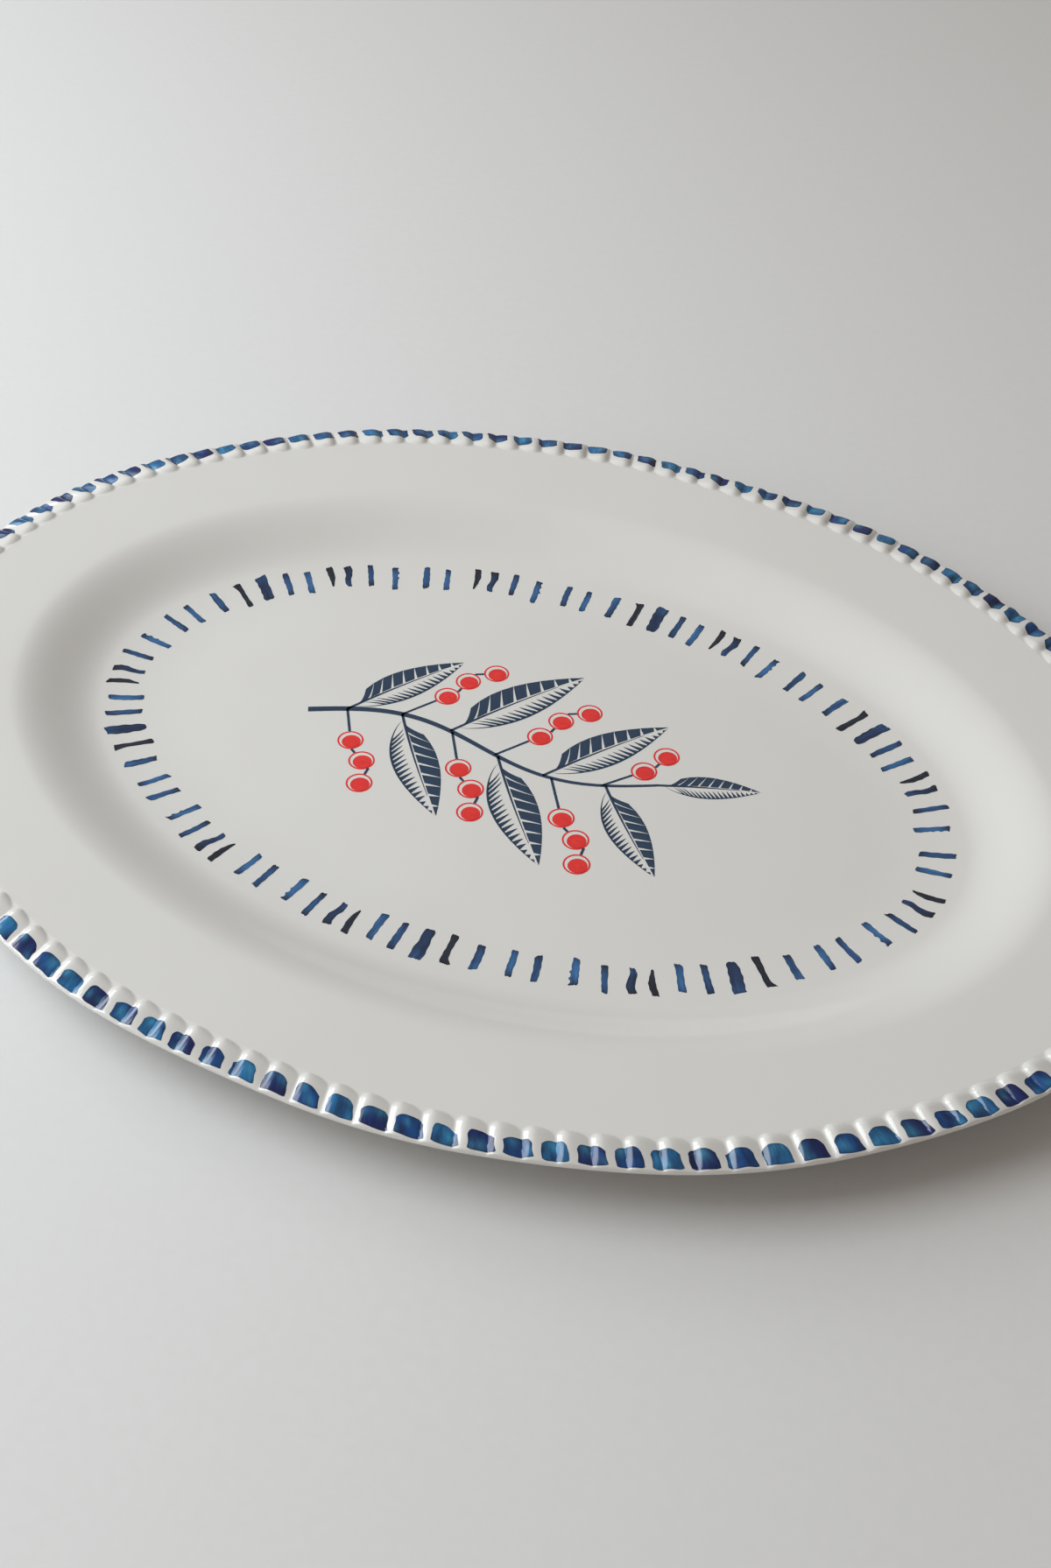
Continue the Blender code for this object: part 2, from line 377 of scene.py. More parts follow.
def add_group(tree, group, **values):
    """Places a node group in a material with its own values."""
    node = tree.nodes.new("ShaderNodeGroup")
    node.node_tree = group
    for name, value in values.items():
        node.inputs[name].default_value = value
    return node


def resin_material(name, ripple, marks):
    """A material with the platter's gloss; its colour is still to be set."""
    material = bpy.data.materials.new(name)
    material.use_nodes = True
    tree = material.node_tree
    shader = tree.nodes["Principled BSDF"]
    shader.inputs["IOR"].default_value = RESIN_IOR
    height = add_group(tree, glaze_ripple, **ripple)
    bump = tree.nodes.new("ShaderNodeBump")
    bump.inputs["Distance"].default_value = MM
    tree.links.new(height.outputs["Height"], bump.inputs["Height"])
    tree.links.new(bump.outputs["Normal"], shader.inputs["Normal"])
    gloss = add_group(tree, handling_marks, **marks)
    tree.links.new(gloss.outputs["Roughness"], shader.inputs["Roughness"])
    return material, tree, shader


def white_melamine():
    """The moulding's warm white."""
    ripple = {"Wave": 0.12, "Peel": 0.0015}
    marks = {"Plain": 0.09, "Smears": 0.05, "Scratches": 0.05}
    material, tree, shader = resin_material("white_melamine", ripple, marks)
    mix = tree.nodes.new("ShaderNodeMix")
    mix.data_type = "RGBA"
    mix.inputs["A"].default_value = (*WHITE, 1)
    mix.inputs["B"].default_value = (*WARM_WHITE, 1)
    tree.links.new(noise(tree, place(tree), MOTTLE_SCALE, 3.0), mix.inputs["Factor"])
    tree.links.new(mix.outputs["Result"], shader.inputs["Base Color"])
    return material


white = white_melamine()
print("material:", white.name)

# %% [markdown]
# ## The moulded body
#
# The body is one shell: floor, dish, cove, rim, lobes, a thin rounded lip, and below them an even wall with
# a foot ring to stand on. A subdivision surface would need a cage with 130 lobes and would round their
# creases off, so the shell is swept here as closed rings, one inside the other. Rings in the lobed edge have
# sixteen points to a lobe and the others have two, and where such rings meet, fans of triangles join them.

# %% Rings of the shell
POINTS_PER_LOBE = 16
PLAIN_POINTS_PER_LOBE = 2
DISH_RINGS = 8
COVE_RINGS = 24
RIM_RINGS = 8
NOSE_RINGS = 10
VAULT_RINGS = 8
UNDER_RIM_RINGS = 6
UNDER_RINGS = 8
NOSE_MARGIN = 0.0006
WALL_THICK = 0.0030
LIP_TOP_INSET = 0.0006
LIP_OUTER_INSET = 0.0001
LIP_UNDER_INSET = 0.0006
LIP_MIDDLE = 0.0202
LIP_BOTTOM = 0.0196
FOOT_INSET = 0.0640
FOOT_WIDTH = 0.0050
FOOT_DRAFT = 0.0008
FOOT_ROUND = 0.0005
FOOT_ROUND_MIDDLE = 0.3 * FOOT_ROUND
UNDER_COVE_INSET = 0.0450
FOOT_GAP = 0.0010


def stations(points_per_lobe, inset):
    """Even shares round the lip, beginning in the valley between two lobes at this inset."""
    count = LOBES * points_per_lobe
    return np.arange(count) / count + (LOBE_START + lean(inset)) / LOBES


def face_ring(points_per_lobe, inset):
    """A ring of points on the upper face."""
    return face(stations(points_per_lobe, inset), inset)


def level_ring(points_per_lobe, inset, height):
    """A ring of points at one inset and one height."""
    shares = stations(points_per_lobe, inset)
    points = plan(shares, np.full(shares.shape, inset))
    return np.column_stack((points, np.full(shares.shape, height)))


def upper_rings():
    """From the edge of the flat floor out to the top of the lip."""
    dish = np.linspace(DISH_EDGE_INSET, COVE_FOOT_INSET, DISH_RINGS, endpoint=False)
    cove = np.linspace(COVE_FOOT_INSET, COVE_HEAD_INSET, COVE_RINGS, endpoint=False)
    rim = np.linspace(COVE_HEAD_INSET, LOBE_FOOT_INSET + 2 * NOSE_MARGIN, RIM_RINGS)
    margin = LOBE_FOOT_INSET + NOSE_MARGIN * np.array((1.0, 0.5, 0.2))
    nose = np.linspace(LOBE_FOOT_INSET, LOBE_CREST_INSET, NOSE_RINGS, endpoint=False)
    vault = np.linspace(LOBE_CREST_INSET, LIP_TOP_INSET, VAULT_RINGS)
    rings = [face_ring(PLAIN_POINTS_PER_LOBE, inset) for inset in np.concatenate((dish, cove, rim))]
    return rings + [face_ring(POINTS_PER_LOBE, inset) for inset in np.concatenate((margin, nose, vault))]


def lip_rings():
    """Round the lip, as two quarters of an ellipse."""
    top = face_ring(POINTS_PER_LOBE, LIP_TOP_INSET)[:, 2]
    rings = []
    for angle in np.radians((22.5, 45, 67.5)):
        inset = LIP_TOP_INSET - (LIP_TOP_INSET - LIP_OUTER_INSET) * math.sin(angle)
        ring = level_ring(POINTS_PER_LOBE, inset, LIP_MIDDLE)
        ring[:, 2] += (top - LIP_MIDDLE) * math.cos(angle)
        rings.append(ring)
    for angle in np.radians((0, 30, 60, 90)):
        inset = LIP_UNDER_INSET - (LIP_UNDER_INSET - LIP_OUTER_INSET) * math.cos(angle)
        height = LIP_MIDDLE - (LIP_MIDDLE - LIP_BOTTOM) * math.sin(angle)
        rings.append(level_ring(PLAIN_POINTS_PER_LOBE, inset, height))
    return rings


def under_rings():
    """Below the rim, round the foot ring and on to the flat under the floor."""
    def plain_ring(inset, height):
        return level_ring(PLAIN_POINTS_PER_LOBE, inset, height)

    def below(insets):
        return [plain_ring(inset, float(face_height(inset)) - WALL_THICK) for inset in insets]

    foot_inner = FOOT_INSET + FOOT_WIDTH
    rim = np.linspace(LOBE_FOOT_INSET, COVE_HEAD_INSET, UNDER_RIM_RINGS)
    cove = np.linspace(UNDER_COVE_INSET, FOOT_INSET - FOOT_GAP, UNDER_RINGS)
    well = np.linspace(foot_inner + FOOT_GAP, DISH_EDGE_INSET, UNDER_RINGS)
    foot = []
    for inset, inward in ((FOOT_INSET, 1), (foot_inner, -1)):
        corner = inset + inward * FOOT_DRAFT
        wall = [(inset, float(face_height(inset)) - WALL_THICK), (corner, FOOT_ROUND)]
        wall.append((corner + inward * FOOT_ROUND_MIDDLE, FOOT_ROUND_MIDDLE))
        wall.append((corner + inward * FOOT_ROUND, 0.0))
        foot += wall[::inward]
    return below(rim) + below(cove) + [plain_ring(*spot) for spot in foot] + below(well)


body_rings = upper_rings() + lip_rings() + under_rings()
print(f"body: {len(body_rings)} rings, {sum(map(len, body_rings))} points")

# %% [markdown]
# The rings are joined into one closed mesh. Two rings of the same count give a band of quads. Where a coarse
# ring meets a fine one, each coarse edge faces eight fine ones, so half of these fan out from its first
# point and half from its second. Two flat polygons close the floor and its underside.

# %% Join the rings
def join(first, second):
    """Faces between two closed rings, given by their first index and count; the face's sense is kept."""
    (a, a_count), (b, b_count) = first, second
    if a_count > b_count:
        return [polygon[::-1] for polygon in join(second, first)]
    parts = b_count // a_count
    faces = []
    for k in range(a_count):
        here, after = a + k, a + (k + 1) % a_count
        there = [b + (k * parts + step) % b_count for step in range(parts + 1)]
        middle = parts // 2
        faces.extend((here, there[step], there[step + 1]) for step in range(middle))
        faces.append((here, there[middle], after))
        faces.extend((after, there[step], there[step + 1]) for step in range(middle, parts))
    if parts == 1:
        faces = [(a + k, b + k, b + (k + 1) % b_count, a + (k + 1) % a_count) for k in range(a_count)]
    return faces


def shell_mesh(name, rings):
    """A closed, smoothly shaded mesh from nested rings."""
    starts = np.cumsum([0] + [len(ring) for ring in rings[:-1]]).tolist()
    spans = [(start, len(ring)) for start, ring in zip(starts, rings)]
    faces = [tuple(range(spans[0][1]))]
    for first, second in zip(spans, spans[1:]):
        faces += join(first, second)
    last_start, last_count = spans[-1]
    faces.append(tuple(range(last_start + last_count - 1, last_start - 1, -1)))
    mesh = bpy.data.meshes.new(name)
    mesh.from_pydata(np.concatenate(rings).tolist(), [], faces)
    mesh.shade_smooth()
    return mesh


def add_piece(mesh, material, node):
    """Puts a mesh into the scene as the piece, of the same name, that stands for a solid of the frame."""
    mesh.materials.append(material)
    piece = bpy.data.objects.new(mesh.name, mesh)
    bpy.context.scene.collection.objects.link(piece)
    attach(piece, "root")
    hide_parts(node)
    return piece


body = add_piece(shell_mesh("moulded_body", body_rings), white, "platter_body")
print(f"{body.name}: {len(body.data.polygons)} faces")

# %% [markdown]
# ## Print as thin sheets
#
# The blue marks are printed on paper that melts into the moulding, so they have an outline and colour but no
# height of their own. They could be painted by shader maths on the body, but a true outline with a crisp
# edge at any distance is easier to draw as geometry: every mark is a small grid of faces that lies a few
# hundredths of a millimetre over the white. Each grid carries its colour, its place across and along
# the mark and a seed, so one material can streak every mark differently. The normals are taken from the
# formulas of the face, so the gloss runs on over the print without a step.

# %% Gather grids into a print
PRINT_LIFT = 0.00004
NORMAL_STEP = 0.00005


class Print:
    """Collects the grids of one print and turns them into a mesh."""

    def __init__(self):
        self.points, self.normals, self.inks, self.values, self.faces = [], [], [], [], []
        self.count = 0

    def add(self, points, normals, ink, across, along, seed):
        """Adds one mark: a grid of points with its normals, colour and place within the mark."""
        rows, columns = points.shape[:2]
        index = np.arange(rows * columns).reshape(rows, columns) + self.count
        corners = (index[:-1, :-1], index[:-1, 1:], index[1:, 1:], index[1:, :-1])
        self.faces.append(np.stack(corners, axis=-1).reshape(-1, 4))
        self.points.append((points + normals * PRINT_LIFT).reshape(-1, 3))
        self.normals.append(np.broadcast_to(normals, points.shape).reshape(-1, 3))
        self.inks.append(np.broadcast_to(ink, points.shape).reshape(-1, 3))
        values = np.broadcast_arrays(across, along, seed, np.zeros((rows, columns)))[:3]
        self.values.append(np.stack(values, axis=-1).reshape(-1, 3))
        self.count += rows * columns

    def mesh(self, name):
        """One mesh of all the marks, facing up, with their attributes and normals."""
        points = np.concatenate(self.points)
        faces = np.concatenate(self.faces)
        corner = points[faces]
        side = np.cross(corner[:, 2] - corner[:, 0], corner[:, 3] - corner[:, 1])[:, 2]
        faces[side < 0] = faces[side < 0][:, ::-1]
        mesh = bpy.data.meshes.new(name)
        mesh.from_pydata(points.tolist(), [], faces.tolist())
        ink = mesh.attributes.new("ink", "FLOAT_COLOR", "POINT")
        colours = np.column_stack((np.concatenate(self.inks), np.ones(len(points))))
        ink.data.foreach_set("color", colours.astype(np.float32).ravel())
        for column, label in enumerate(("across", "along", "seed")):
            values = np.concatenate(self.values)[:, column]
            mesh.attributes.new(label, "FLOAT", "POINT").data.foreach_set("value", values.astype(np.float32))
        mesh.shade_smooth()
        mesh.normals_split_custom_set_from_vertices(np.concatenate(self.normals).tolist())
        return mesh


def face_normals(share, inset):
    """Upward normals of the face by small differences."""
    share_step = NORMAL_STEP / lip_way[-1]
    along_lip = face(share + share_step, inset) - face(share - share_step, inset)
    inward = face(share, inset + NORMAL_STEP) - face(share, inset - NORMAL_STEP)
    normal = np.cross(along_lip, inward)
    return normal / np.linalg.norm(normal, axis=-1, keepdims=True)


def screen_colour(red, green, blue):
    """Linear colour from the 0 to 255 values that a screen shows."""
    return np.array([((value / 255 + 0.055) / 1.055) ** 2.4 for value in (red, green, blue)])


print(f"print lift: {PRINT_LIFT / MM:.2f} mm")

# %% [markdown]
# The inks have the body's gloss, with the colour read from the mesh. The shared brush streaks lighten and
# darken it. The edge patches have broad strong streaks, the dashes have finer ones, and the sprig is printed
# almost evenly.

# %% Ink materials
def ink_material(name, pool, **streaks):
    """A glossy print whose colour comes from the marks and their brush streaks."""
    ripple = {"Wave": 0.05, "Pool": pool, "Peel": 0.0015}
    marks = {"Plain": 0.14, "Smears": 0.05, "Scratches": 0.05}
    material, tree, shader = resin_material(name, ripple, marks)
    brush = add_group(tree, brush_streaks, **streaks)
    for label, socket in (("across", "Across"), ("along", "Along"), ("seed", "Seed")):
        attribute = tree.nodes.new("ShaderNodeAttribute")
        attribute.attribute_name = label
        tree.links.new(attribute.outputs["Fac"], brush.inputs[socket])
    ink = tree.nodes.new("ShaderNodeAttribute")
    ink.attribute_name = "ink"
    shaded = tree.nodes.new("ShaderNodeVectorMath")
    shaded.operation = "SCALE"
    tree.links.new(ink.outputs["Color"], shaded.inputs[0])
    tree.links.new(brush.outputs["Shade"], shaded.inputs["Scale"])
    tree.links.new(shaded.outputs["Vector"], shader.inputs["Base Color"])
    return material


patch_ink = ink_material("patch_ink", pool=0.06, Fineness=2.6, Contrast=2.0, Outline=0.6)
dash_ink = ink_material("dash_ink", pool=0.01, Fineness=1.6, Contrast=2.2, Outline=0.5)
sprig_ink = ink_material("sprig_ink", pool=0.005, Fineness=1.2, Contrast=0.5, Outline=0.1)
print("materials:", patch_ink.name, dash_ink.name, sprig_ink.name)

# %% [markdown]
# ## Blue patches on the edge
#
# The printed band has 120 patches in dark, middle and light blue by turns. Each is a tombstone shape: a
# nearly straight outer edge just above the white lip, slightly wavy sides and a rounded inner end, a little
# different every time as if painted by hand. Within a patch the wet colour pools in some places and thins in
# others, so every point of the mesh carries its own ink: the patch's blue, mixed with a darker and a lighter
# one around a few random spots. The band is printed flat and doesn't keep step with the 130 lobes, so the
# patches drape over ridges and valleys as they come. The pattern's two halves were joined out of step.

# %% Lay the patches
PATCHES = 120
PATCH_START = 0.05
PATCH_DRIFT = ((1, 0.127, math.radians(15)), (2, 0.102, math.radians(180)), (3, 0.097, math.radians(-24)))
PATCH_LEAN = 0.22
PATCH_INNER_INSET = 0.0071
PATCH_OUTER_INSET = 0.0008
PATCH_WIDTH = 0.78
PATCH_CORNER = 0.0016
PATCH_OUTER_CORNER = 0.0004
PATCH_WOBBLE = 0.00012
PATCH_TAPER = 0.05
PATCH_SWAY = 0.03
SKEW_WIDE_TALL_CORNER = ((-0.35, 0.94, 0.93, 0.8), (0.35, 1.04, 1.03, 1.3))
PATCH_BLUES = (screen_colour(12, 36, 96), screen_colour(12, 68, 126), screen_colour(30, 102, 152))
PATCH_POOL = screen_colour(13, 25, 76)
PATCH_THIN = screen_colour(68, 150, 186)
PATCH_SPOTS = ((PATCH_POOL, 0.75), (PATCH_THIN, 0.45), (PATCH_POOL, 0.6), (PATCH_THIN, 0.35))
SPOT_ACROSS_ALONG_SPREAD = ((-1.0, 0.0, 0.25), (1.0, 1.0, 0.55))
SPOT_SQUASH = 1.3
random = np.random.default_rng(26)


def waves(table, turns):
    """The sum of slow waves round the platter."""
    return sum(size * math.cos(2 * math.pi * count * turns + start) for count, size, start in table)


def edge_patch(sheet, number):
    """One patch as a grid that lies on the lobes."""
    across, along = np.meshgrid(np.linspace(-1, 1, 21), np.linspace(0, 1, 13))
    skew, wide, tall, corner = random.uniform(*SKEW_WIDE_TALL_CORNER)
    wobble = PATCH_WOBBLE * np.sin(across * random.uniform(2, 5) + random.uniform(0, 6))
    rounding = PATCH_CORNER * corner * np.abs(across - skew * (1 - across ** 2)) ** 4
    inner = PATCH_INNER_INSET * tall - rounding
    outer = PATCH_OUTER_INSET + wobble + PATCH_OUTER_CORNER * across ** 6
    inset = outer + (inner - outer) * along
    sway = PATCH_SWAY * np.sin(along * random.uniform(3, 7) + random.uniform(0, 6))
    half_width = PATCH_WIDTH / 2 / PATCHES * wide * (1 - PATCH_TAPER * along + sway)
    middle = (number + PATCH_START + waves(PATCH_DRIFT, number / PATCHES)) / PATCHES
    leaning = PATCH_LEAN * ((PATCH_INNER_INSET + PATCH_OUTER_INSET) / 2 - inset) / lip_way[-1]
    share = middle + leaning + across * half_width
    tone = (number + (2 if number < PATCHES // 2 else 1)) % len(PATCH_BLUES)
    ink = PATCH_BLUES[tone]
    for other, depth in PATCH_SPOTS:
        spot_across, spot_along, spread = random.uniform(*SPOT_ACROSS_ALONG_SPREAD)
        away = np.hypot(across - spot_across, SPOT_SQUASH * (along - spot_along)) / spread
        ink = ink + (other - ink) * (depth * np.exp(-away ** 2))[..., None]
    sheet.add(face(share, inset), face_normals(share, inset), ink, across, along, random.random())


edge_sheet = Print()
for patch_number in range(PATCHES):
    edge_patch(edge_sheet, patch_number)
edge_band = add_piece(edge_sheet.mesh("edge_patches"), patch_ink, "edge_decor_foil")
print(f"{edge_band.name}: {PATCHES} patches, {len(edge_band.data.polygons)} faces")

# %% [markdown]
# ## The ring of dashes
#
# Round the well runs a ring of 84 short brush strokes. Each points outwards, and eleven kinds come round in a
# fixed order, short run and long run by turns. A kind is a row of plain facts: how much room it leaves before
# it, how long and wide it is and how far it slides outwards, all in millimetres, then its shape and its
# colour at the inner end, middle and outer end. A small function draws the few shapes there are.

# %% Kinds of dash
from collections import namedtuple

Dash = namedtuple("Dash", "room length width slide shape inner middle outer")
BLACK = screen_colour(34, 42, 55)
NAVY = screen_colour(34, 54, 86)
INK_BLUE = screen_colour(44, 80, 124)
PALE_BLUE = screen_colour(54, 100, 148)
DASH_KINDS = {
    "hooked": Dash(8.7, 13.8, 3.2, -0.6, "hook", BLACK, BLACK, BLACK),
    "fading": Dash(9.9, 11.6, 2.7, -0.1, "bar", NAVY, INK_BLUE, PALE_BLUE),
    "pale": Dash(11.1, 11.9, 2.3, -0.6, "bar", INK_BLUE, PALE_BLUE, NAVY),
    "blue": Dash(8.2, 12.0, 2.4, -0.2, "bar", NAVY, INK_BLUE, INK_BLUE),
    "ragged": Dash(12.1, 12.4, 3.0, -1.2, "teeth", INK_BLUE, PALE_BLUE, NAVY),
    "slim": Dash(9.4, 12.3, 2.2, 0.8, "bar", BLACK, INK_BLUE, NAVY),
    "wavy": Dash(8.5, 11.6, 3.4, 0.8, "wave", INK_BLUE, NAVY, BLACK),
    "blade": Dash(6.6, 11.4, 2.5, 1.3, "blade", BLACK, BLACK, BLACK),
    "long": Dash(8.5, 12.7, 2.6, -0.7, "bar", INK_BLUE, PALE_BLUE, INK_BLUE),
    "tall": Dash(8.1, 13.0, 2.4, 0.2, "bar", NAVY, INK_BLUE, NAVY),
    "broad": Dash(8.9, 14.0, 4.5, 0.4, "broad", NAVY, NAVY, INK_BLUE),
}
RUN_OPENING = ("hooked", "fading")
RUN_MIDDLE = ("pale", "blue", "ragged", "slim", "wavy", "blade")
RUN_CLOSING = ("long", "tall", "broad")
SHORT_RUN = RUN_OPENING + RUN_MIDDLE + RUN_CLOSING
LONG_RUN = RUN_OPENING + RUN_MIDDLE + RUN_MIDDLE + RUN_CLOSING
DASH_ORDER = (SHORT_RUN + LONG_RUN) * 3
print(f"dashes: {len(DASH_ORDER)} of {len(DASH_KINDS)} kinds")

# %% Outlines of the dashes
def dash_sides(shape, p):
    """Left and right edge of a dash in half widths; p runs from its inner end (0) to its outer end (1)."""
    near_end = np.clip(np.minimum(p, 1 - p) / 0.07, 0, 1)
    bar = 0.75 + 0.25 * np.sqrt(near_end * (2 - near_end))
    if shape == "hook":
        stem = bar * (0.76 - 0.08 * np.sin(np.pi * p))
        flare = np.clip((p - 0.70) / 0.30, 0, 1) ** 2
        return -stem + 0.15 * flare, stem + 0.85 * flare
    if shape == "blade":
        bow = 0.45 * np.sin(np.pi * p) - 0.25 * p
        full = bar * (0.30 + 0.70 * np.sin(np.pi / 2 * np.clip(p / 0.75, 0, 1)))
        return -full - bow, full - bow
    if shape == "broad":
        nose = np.clip(p / 0.16, 0, 1)
        nose = 0.55 + 0.45 * np.sqrt(nose * (2 - nose))
        return -nose * (0.88 + 0.12 * p), nose * (0.94 + 0.06 * p)
    if shape == "teeth":
        teeth = 0.30 * np.clip(np.sin(p * 27), -0.3, 1) * np.clip((p - 0.35) / 0.1, 0, 1)
        return -bar * (0.76 + teeth), bar * 0.82
    if shape == "wave":
        sway = 0.24 * np.sin(p * 7.0)
        half = bar * (0.60 + 0.34 * p)
        return sway - half, sway + half
    return -bar, bar


print("shapes:", sorted({kind.shape for kind in DASH_KINDS.values()}))

# %% [markdown]
# The dashes are spaced along the oval that their middles lie on. For each middle the nearest place on the
# lip gives the outward direction, and the dash is a grid along it that follows the slope of the dish.

# %% Lay the dashes
DASH_RING_INSET = 0.0811
DASH_RING_START = 0.0924
EDGE_WOBBLE = ((0.10, 3, 8), (0.06, 14, 26))
END_CUT = 0.22
END_TEAR = 0.00011
DASH_TILT = math.radians(1.2)
INK_STOPS = (0, 0.35, 0.65, 1)
SHEET_DRIFT = ((1, 0.0015, math.radians(-117)), (2, 0.0017, math.radians(-39)))
SHEET_STRETCH = ((1, 0.0005, math.radians(-37)), (2, 0.0010, math.radians(171)))
ring_shares = np.linspace(0, 1, OUTLINE_SAMPLES + 1)
ring_points = plan(ring_shares, np.full(ring_shares.shape, DASH_RING_INSET))
ring_way = np.concatenate(([0.0], np.cumsum(np.linalg.norm(np.diff(ring_points, axis=0), axis=1))))


def lay_dash(sheet, kind, share, ring_inset):
    """One dash as a grid across its outline and along its length."""
    (middle,), (outward,) = oval(np.array([share]))
    sideways = np.array((-outward[1], outward[0]))
    p = np.concatenate((np.linspace(0, 0.1, 6, endpoint=False), np.linspace(0.1, 0.9, 24, endpoint=False),
                        np.linspace(0.9, 1, 7)))
    edges = [edge * (1 + sum(size * np.sin(p * random.uniform(low, high) + random.uniform(0, 6))
                             for size, low, high in EDGE_WOBBLE)) for edge in dash_sides(kind.shape, p)]
    across = np.linspace(-1, 1, 9)
    left, right = np.array(edges)[..., None] * kind.width / 2 * random.uniform(0.95, 1.05) * MM
    offset = (left + right) / 2 + (right - left) / 2 * across
    reach = ((kind.slide + (p - 0.5) * kind.length * random.uniform(0.97, 1.03)) * MM)[:, None]
    inner_cut, outer_cut = random.normal(0, END_CUT, 2)
    torn = random.normal(0, END_TEAR, (2, across.size))
    reach = reach + (1 - p[:, None]) ** 6 * torn[0] + p[:, None] ** 6 * torn[1]
    reach = reach + offset * np.interp(p, (0, 1), (inner_cut, outer_cut))[:, None]
    offset = offset + reach * math.tan(random.normal(0, DASH_TILT))
    inset = ring_inset - reach
    slope = (face_height(inset - MM) - face_height(inset + MM)) / (2 * MM)
    flat = middle - outward * inset[..., None] + sideways * offset[..., None]
    points = np.concatenate((flat, face_height(inset)[..., None]), axis=-1)
    normals = np.concatenate((-slope[..., None] * outward, np.ones(slope.shape + (1,))), axis=-1)
    normals /= np.linalg.norm(normals, axis=-1, keepdims=True)
    ink = np.stack([np.interp(p, INK_STOPS, stops)
                    for stops in zip(kind.inner, kind.middle, kind.middle, kind.outer)], axis=-1)
    sheet.add(points, normals, ink[:, None], across[None], p[:, None], random.random())


dash_sheet = Print()
rooms = np.array([DASH_KINDS[kind].room for kind in DASH_ORDER])
spots = DASH_RING_START + np.cumsum(rooms) / rooms.sum()
for kind_name, spot in zip(DASH_ORDER, spots):
    way = spot % 1.0 * ring_way[-1] + waves(SHEET_DRIFT, spot)
    dash_share = float(np.interp(way % ring_way[-1], ring_way, ring_shares))
    lay_dash(dash_sheet, DASH_KINDS[kind_name], dash_share, DASH_RING_INSET + waves(SHEET_STRETCH, spot))
dashes = add_piece(dash_sheet.mesh("dash_ring"), dash_ink, "centre_decor_foil")
print(f"{dashes.name}: {len(dashes.data.polygons)} faces on a ring {ring_way[-1] / MM:.0f} mm round")

# %% [markdown]
# ## The printed sprig
#
# The middle of the well carries a printed sprig of leaves and berries, in the manner of an old wood
# engraving: each leaf has a dark half cut by white veins and a light half made of pointed strokes, and the
# berries are red with a bright crescent. A leaf's outline is a formula, and every cut and stroke runs along
# it at a slant, so one function makes them all: a band between two lines of the leaf. The rows below say
# where on the stem a leaf or a cluster of berries grows, from 0 to 1, and its turn from the platter's long
# axis in degrees. A leaf's length and curl follow, or the first berry's distance and the number of berries.

# %% Bands and strokes on the floor
FLOOR_UP = np.array((0.0, 0.0, 1.0))
SPRIG_NAVY = screen_colour(40, 62, 86)
SPRIG_RED = screen_colour(224, 54, 52)


def band(sheet, first, second, ink, seed):
    """A filled band between two plan lines of equal count."""
    columns = np.linspace(0, 1, 3)
    flat = first[:, None] + (second - first)[:, None] * columns[None, :, None]
    points = np.concatenate((flat, np.full(flat.shape[:2] + (1,), FLOOR_TOP)), axis=-1)
    along = np.linspace(0, 1, len(first))[:, None]
    sheet.add(points, np.broadcast_to(FLOOR_UP, points.shape), ink, columns[None] * 2 - 1, along, seed)


def stroke(sheet, line, widths, ink, seed):
    """A brush stroke along a plan line, with a width at each point."""
    ahead = np.gradient(line, axis=0)
    ahead /= np.linalg.norm(ahead, axis=1, keepdims=True)
    side = np.column_stack((-ahead[:, 1], ahead[:, 0])) * np.broadcast_to(widths, len(line))[:, None] / 2
    band(sheet, line - side, line + side, ink, seed)


sprig_sheet = Print()
print("sprig colours:", SPRIG_NAVY.round(3), SPRIG_RED.round(3))

# %% Places on the stem and its leaves
STEM_FROM = -0.080
STEM_TO = 0.050
STEM_SWAY = 0.008
STEM_CLIMB = 0.012
LEAF_SLIMNESS = 0.15
LEAF_STALK = 0.06
Leaf = namedtuple("Leaf", "t turn length curl")
LEAVES = (
    Leaf(0.10, 58, 0.050, 0.06), Leaf(0.25, -57, 0.054, 0.06), Leaf(0.40, 57, 0.058, 0.06),
    Leaf(0.56, -57, 0.055, 0.06), Leaf(0.70, 55, 0.053, 0.06), Leaf(0.87, -53, 0.046, 0.06),
    Leaf(1.0, 20, 0.036, 0.05),
)


def stem_at(t):
    """Plan points of the stem, from its cut end (0) to the foot of its last leaf (1)."""
    t = np.asarray(t, float)
    x = STEM_FROM + (STEM_TO - STEM_FROM) * t
    return np.stack((x, STEM_CLIMB * (t - 0.5) + STEM_SWAY * np.sin(2 * np.pi * t)), axis=-1)


def directions(turn):
    """Unit vectors along and to the left of a line that is turned this far from the long axis, in degrees."""
    ahead = np.array((math.cos(math.radians(turn)), math.sin(math.radians(turn))))
    return ahead, np.array((-ahead[1], ahead[0]))


def leaf_point(leaf, t, f):
    """Plan point of a leaf: t runs from foot to tip, f from the midrib (0) to a margin (1 or -1)."""
    ahead, left = directions(leaf.turn)
    t = np.clip(t, 0, 1)
    breadth = LEAF_SLIMNESS * np.sin(np.pi * t ** 0.82) ** 0.9
    bend = -leaf.curl * math.copysign(1, leaf.turn) * t ** 2
    reach = ahead * (LEAF_STALK + (1 - LEAF_STALK) * t)[:, None] + left * (bend + f * breadth)[:, None]
    return stem_at(leaf.t) + reach * leaf.length


print(f"stem: {(STEM_TO - STEM_FROM) / MM:.0f} mm long, with {len(LEAVES)} leaves")

# %% Draw the leaves and the stem
VEINS = 9
VEIN_SLANT = 0.16
VEIN_GAP = 0.012
STROKE_HALF_WIDTH = 0.017
STROKE_POINT = 0.0015
MARGIN_LINE = (-0.94, -1.04)
MIDRIB_WIDTHS = (0.0011, 0.0002)
STEM_WIDTHS = (0.0026, 0.0012)


